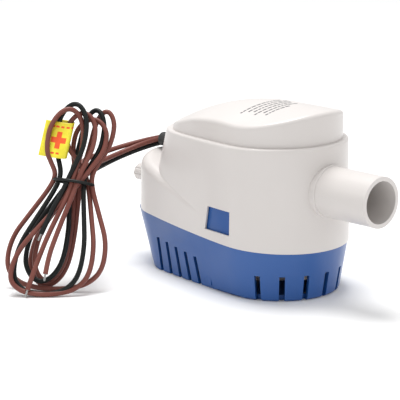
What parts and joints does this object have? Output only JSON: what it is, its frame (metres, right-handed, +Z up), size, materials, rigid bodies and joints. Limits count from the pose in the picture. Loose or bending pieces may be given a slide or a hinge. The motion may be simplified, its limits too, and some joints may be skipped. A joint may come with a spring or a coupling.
{
  "type": "bilge pump",
  "caption": "Automatic submersible bilge pump: slotted strainer base, egg-shaped motor and float housing, hose spigot, test knob and tied leads.",
  "frame": {"origin": "motor-drum axis at the underside of the base", "axes": "+X along the discharge spigot, +Z up, +Y to the side without the hank"},
  "size_m": [0.1955, 0.1615, 0.1068],
  "materials": {
    "white_plastic": "gloss",
    "blue_plastic": "gloss",
    "inner_plastic": "satin",
    "black_plastic": "matte",
    "steel": "satin",
    "magnet": "matte",
    "copper": "satin",
    "carbon": "matte",
    "seal_rubber": "matte",
    "foam": "matte",
    "brown_insulation": "satin",
    "black_insulation": "satin",
    "yellow_label": "satin"
  },
  "bodies": {
    "base": {"strainer_base": "blue_plastic"},
    "latch_front": {"latch_tab_front": "blue_plastic"},
    "latch_rear": {"latch_tab_rear": "blue_plastic"},
    "housing": {"housing_shell": "white_plastic", "top_cover": "white_plastic", "chassis_plate": "inner_plastic", "intake_plate": "inner_plastic", "volute_casing": "inner_plastic", "riser_gasket": "seal_rubber", "shaft_seal": "seal_rubber", "seal_retainer": "steel", "lower_bearing": "copper", "upper_bearing": "copper", "motor_can": "steel", "motor_end_bell": "black_plastic", "motor_magnets": "magnet", "brushes": "carbon", "brush_springs": "copper", "brush_card": "black_plastic", "motor_seal_ring": "seal_rubber", "motor_screws": "steel", "float_pin": "steel", "reed_switch": "black_plastic", "cable_gland": "seal_rubber", "lead_brown_a": "brown_insulation", "lead_brown_b": "brown_insulation", "lead_black": "black_insulation", "wire_hank": "brown_insulation", "hank_tie": "black_plastic", "polarity_flag": "yellow_label"},
    "rotor": {"motor_shaft": "steel", "impeller": "black_plastic", "armature_stack": "steel", "armature_windings": "copper", "commutator": "copper"},
    "float": {"switch_float": "foam", "float_arm": "inner_plastic", "float_magnet": "magnet"},
    "knob": {"test_knob": "white_plastic", "lifter_crank": "inner_plastic"}
  },
  "joints": [
    {"name": "housing_lift", "type": "slide", "parent": "base", "child": "housing", "axis": [0, 0, 1], "range_m": [0, 0.04]},
    {"name": "latch_front_press", "type": "hinge", "parent": "base", "child": "latch_front", "pos_m": [-0.01, -0.0324, 0.024], "axis": [-1, 0, 0], "range_deg": [0, 6], "stiffness_Nm_per_rad": 0.05, "springref_deg": -5.73},
    {"name": "latch_rear_press", "type": "hinge", "parent": "base", "child": "latch_rear", "pos_m": [-0.01, 0.0324, 0.024], "axis": [1, 0, 0], "range_deg": [0, 6], "stiffness_Nm_per_rad": 0.05, "springref_deg": -5.73},
    {"name": "rotor_spin", "type": "hinge", "parent": "housing", "child": "rotor", "pos_m": [-0.008, 0, 0.04], "axis": [0, 0, 1], "continuous": true},
    {"name": "float_swing", "type": "hinge", "parent": "housing", "child": "float", "pos_m": [-0.05, 0, 0.024], "axis": [0, 1, 0], "range_deg": [0, 35]},
    {"name": "test_knob_turn", "type": "hinge", "parent": "housing", "child": "knob", "pos_m": [-0.11, 0, 0.048], "axis": [1, 0, 0], "range_deg": [0, 90]}
  ]
}
